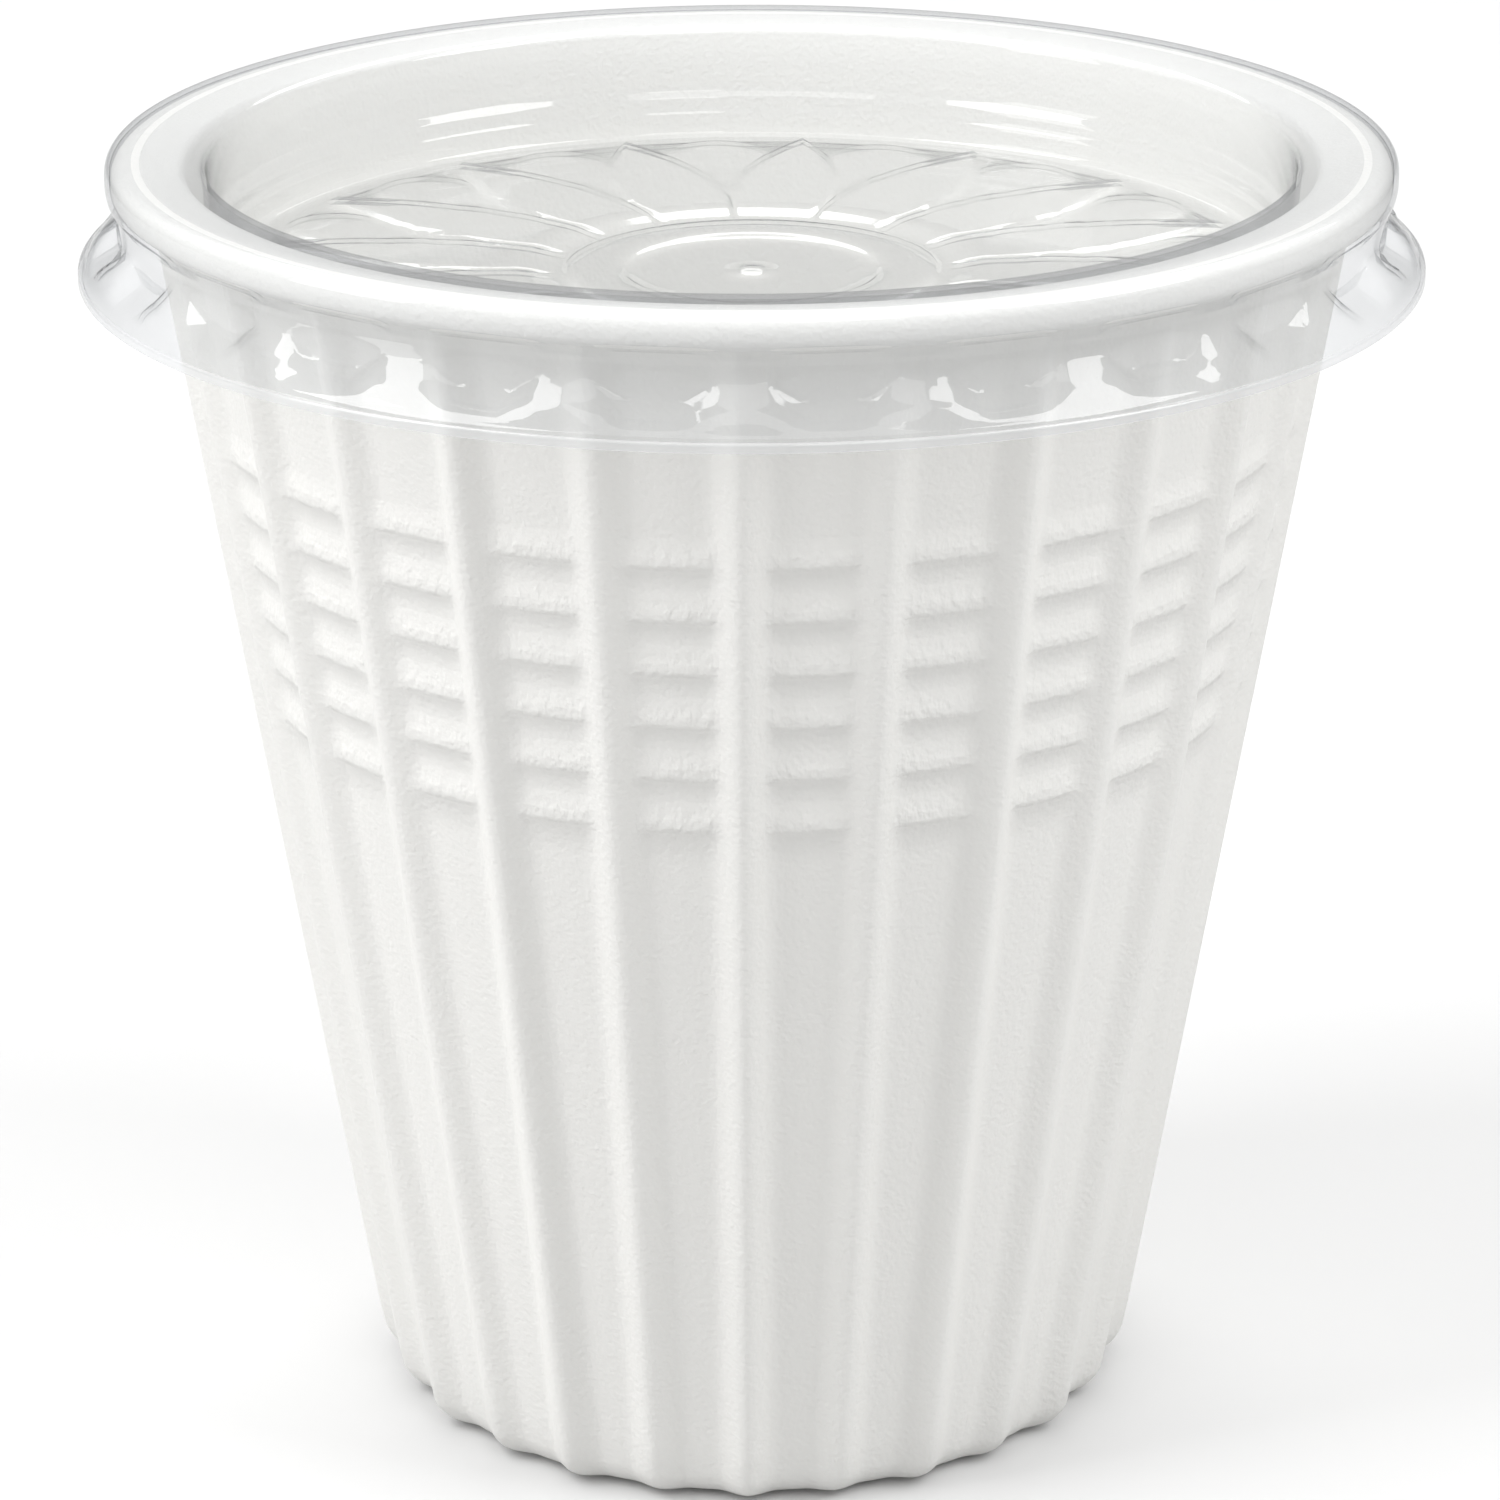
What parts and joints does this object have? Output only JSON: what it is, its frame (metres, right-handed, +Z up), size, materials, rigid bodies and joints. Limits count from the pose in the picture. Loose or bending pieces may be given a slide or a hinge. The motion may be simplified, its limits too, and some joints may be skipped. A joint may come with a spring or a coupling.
{
  "type": "lidded soup cup",
  "caption": "Tall ribbed foam soup cup with louvred grip bars and a clear thermoformed press-on lid pressed with a petal rosette.",
  "frame": {"origin": "middle of the foot, on the plane the cup stands on", "axes": "+Z up the cup's axis to the lid, -Y towards the front"},
  "size_m": [0.111, 0.111, 0.1096],
  "materials": {
    "foam": "matt white expanded polystyrene with a fine orange-peel grain",
    "clear_film": "thin clear thermoformed polystyrene sheet, glossy"
  },
  "bodies": {
    "root": {"cup": "foam", "lid": "clear_film"}
  },
  "joints": []
}
